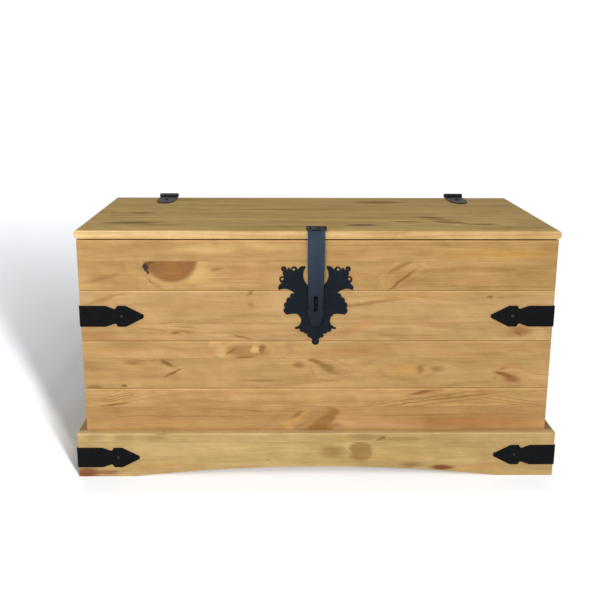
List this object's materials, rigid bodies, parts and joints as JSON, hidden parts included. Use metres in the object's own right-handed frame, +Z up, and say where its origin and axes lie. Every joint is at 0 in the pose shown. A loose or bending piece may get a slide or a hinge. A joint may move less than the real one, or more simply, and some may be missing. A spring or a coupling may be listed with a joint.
{
  "type": "wooden chest",
  "caption": "Low boarded pine storage chest on an arched plinth, with a hinged flat lid, a swinging hasp over a leaf-shaped plate and black iron corner straps.",
  "frame": {"origin": "centre of the footprint, on the floor", "axes": "+Z up, +X to the right seen from the front, the front with the hasp faces -Y"},
  "size_m": [0.9172, 0.4996, 0.482],
  "materials": {
    "waxed_pine": "satin",
    "inner_pine": "matte",
    "black_iron": "satin",
    "zinc_screws": "satin"
  },
  "bodies": {
    "case": {"front_plank_1": "waxed_pine", "front_plank_2": "waxed_pine", "front_plank_3": "waxed_pine", "front_plank_4": "waxed_pine", "back_plank_1": "waxed_pine", "back_plank_2": "waxed_pine", "back_plank_3": "waxed_pine", "back_plank_4": "waxed_pine", "left_plank_1": "waxed_pine", "left_plank_2": "waxed_pine", "left_plank_3": "waxed_pine", "left_plank_4": "waxed_pine", "right_plank_1": "waxed_pine", "right_plank_2": "waxed_pine", "right_plank_3": "waxed_pine", "right_plank_4": "waxed_pine", "corner_post_front_left": "inner_pine", "corner_post_front_right": "inner_pine", "corner_post_back_left": "inner_pine", "corner_post_back_right": "inner_pine", "foot_blocks": "inner_pine", "floor_panel": "inner_pine", "floor_cleats": "inner_pine", "floor_bearer": "inner_pine", "plinth_front": "waxed_pine", "plinth_back": "waxed_pine", "plinth_left": "waxed_pine", "plinth_right": "waxed_pine", "post_screws": "zinc_screws", "hinge_case_leaf_left": "black_iron", "hinge_case_leaf_right": "black_iron", "hinge_pin_left": "black_iron", "hinge_pin_right": "black_iron", "hinge_case_screws": "black_iron", "hasp_staple": "black_iron", "escutcheon": "black_iron", "escutcheon_nails": "black_iron", "corner_strap_upper_left": "black_iron", "corner_strap_upper_right": "black_iron", "corner_strap_lower_left": "black_iron", "corner_strap_lower_right": "black_iron", "corner_strap_nails": "black_iron"},
    "lid": {"lid_board_1": "waxed_pine", "lid_board_2": "waxed_pine", "lid_board_3": "waxed_pine", "lid_board_4": "waxed_pine", "lid_batten_left": "inner_pine", "lid_batten_right": "inner_pine", "batten_screws": "zinc_screws", "hinge_lid_leaf_left": "black_iron", "hinge_lid_leaf_right": "black_iron", "hinge_lid_screws": "black_iron", "hasp_leaf": "black_iron", "hasp_pin": "black_iron", "hasp_leaf_screws": "black_iron"},
    "hasp": {"hasp_strap": "black_iron"}
  },
  "joints": [
    {"name": "lid_hinge", "type": "hinge", "parent": "case", "child": "lid", "pos_m": [0, 0.236, 0.4775], "axis": [-1, 0, 0], "range_deg": [0, 100]},
    {"name": "hasp_hinge", "type": "hinge", "parent": "lid", "child": "hasp", "pos_m": [-0.0042, -0.2395, 0.478], "axis": [-1, 0, 0], "range_deg": [0, 270]}
  ]
}
